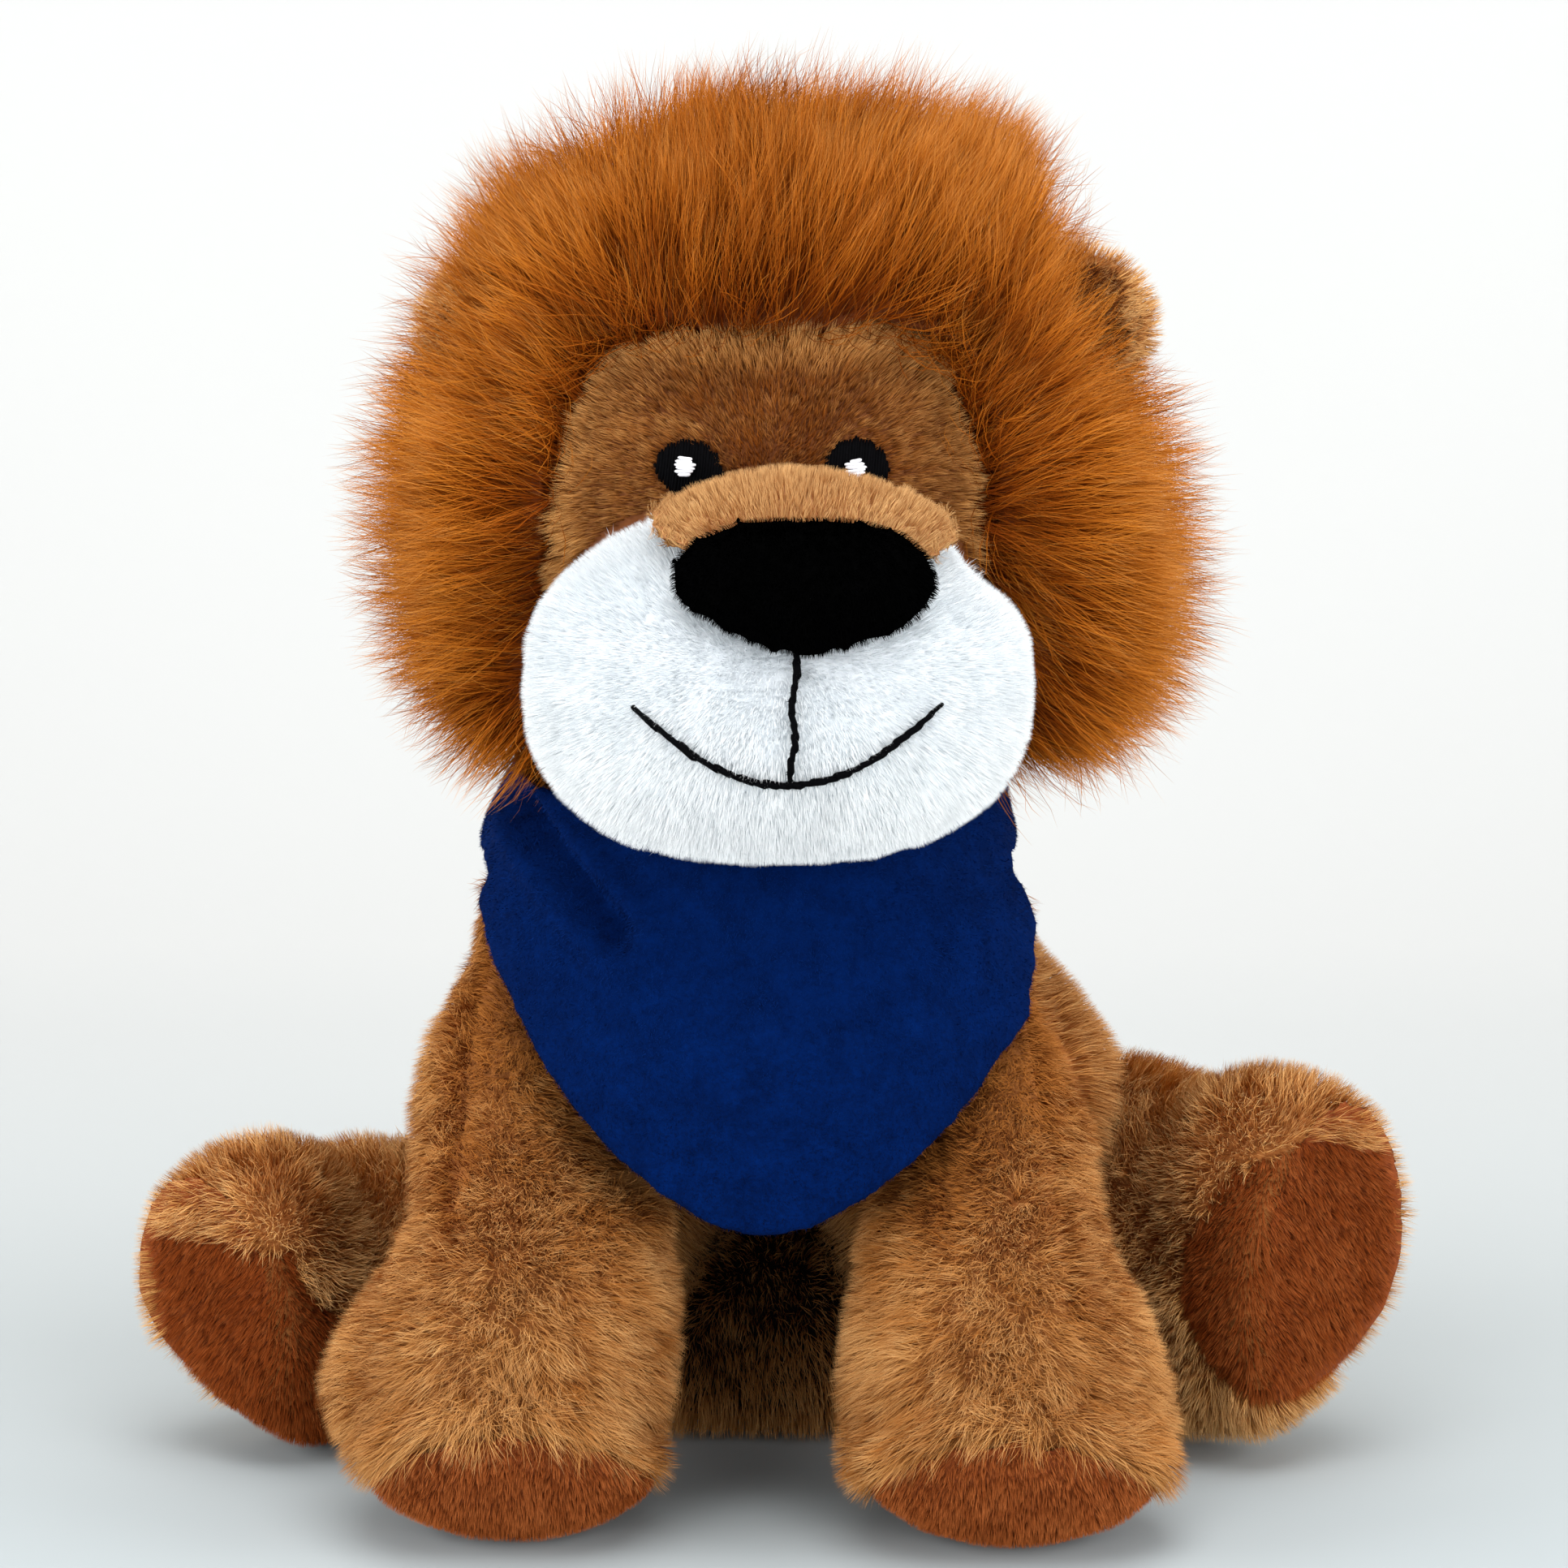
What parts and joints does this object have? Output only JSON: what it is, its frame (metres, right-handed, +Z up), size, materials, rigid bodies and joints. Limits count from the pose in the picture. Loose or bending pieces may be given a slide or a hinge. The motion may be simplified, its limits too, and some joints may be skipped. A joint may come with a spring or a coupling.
{
  "type": "plush lion",
  "caption": "Sitting plush lion with a long-haired mane, embroidered face, jointed head, limbs and tail, and a plain cloth bandana.",
  "frame": {"origin": "middle of the footprint, on the floor that the lion sits on", "axes": "+Z up, the face looks along -Y, +X is the viewer's right"},
  "size_m": [0.1732, 0.1454, 0.1824],
  "materials": {
    "body_plush": "tan-brown short fur, darker at its roots",
    "mane_pile": "long combed pile, red-brown roots and tan tips",
    "face_plush": "short brown plush",
    "white_plush": "short white plush",
    "tan_plush": "short tan plush",
    "black_plush": "short black plush",
    "pad_plush": "red-brown knit-backed short pile",
    "ear_lining": "dark brown short plush",
    "black_thread": "embroidery thread, satin stitch",
    "white_thread": "embroidery thread, satin stitch",
    "navy_cloth": "matte brushed polyester cloth",
    "closure_tape": "hook-and-loop tape",
    "stuffing": "polyester fibre filling",
    "pellet_cloth": "plain cotton bag of pellets"
  },
  "bodies": {
    "torso": {"torso_cover": "body_plush", "torso_filling": "stuffing", "pellet_bag": "pellet_cloth", "bandana": "navy_cloth", "hook_tab": "closure_tape", "loop_tab": "closure_tape"},
    "head": {"head_cover": "body_plush", "head_filling": "stuffing", "face_panel": "face_plush", "muzzle": "white_plush", "muzzle_bridge": "tan_plush", "nose": "black_plush", "smile_stitch": "black_thread", "philtrum_stitch": "black_thread", "left_eye": "black_thread", "right_eye": "black_thread", "left_eye_glint": "white_thread", "right_eye_glint": "white_thread", "left_ear": "body_plush", "right_ear": "body_plush", "left_ear_lining": "ear_lining", "right_ear_lining": "ear_lining", "mane": "mane_pile"},
    "left_arm": {"left_arm": "body_plush", "left_paw_pad": "pad_plush"},
    "right_arm": {"right_arm": "body_plush", "right_paw_pad": "pad_plush"},
    "left_leg": {"left_leg": "body_plush", "left_foot_pad": "pad_plush"},
    "right_leg": {"right_leg": "body_plush", "right_foot_pad": "pad_plush"},
    "tail": {"tail": "body_plush", "tail_tuft": "mane_pile"}
  },
  "joints": [
    {"name": "neck_turn", "type": "hinge", "parent": "torso", "child": "head", "pos_m": [-0.00105, -0.00181, 0.0931], "axis": [0, 0, 1], "range_deg": [-20, 20]},
    {"name": "left_shoulder", "type": "hinge", "parent": "torso", "child": "left_arm", "pos_m": [-0.03205, 0.00219, 0.083], "axis": [0, 1, 0], "range_deg": [0, 15]},
    {"name": "right_shoulder", "type": "hinge", "parent": "torso", "child": "right_arm", "pos_m": [0.02595, 0.00219, 0.083], "axis": [0, -1, 0], "range_deg": [0, 15]},
    {"name": "left_hip", "type": "hinge", "parent": "torso", "child": "left_leg", "pos_m": [-0.03305, 0.03419, 0.022], "axis": [0, 0, -1], "range_deg": [0, 20]},
    {"name": "right_hip", "type": "hinge", "parent": "torso", "child": "right_leg", "pos_m": [0.03095, 0.03419, 0.022], "axis": [0, 0, 1], "range_deg": [0, 20]},
    {"name": "tail_swing", "type": "hinge", "parent": "torso", "child": "tail", "pos_m": [-0.00105, 0.04219, 0.013], "axis": [0, 0, 1], "range_deg": [-25, 25]}
  ]
}
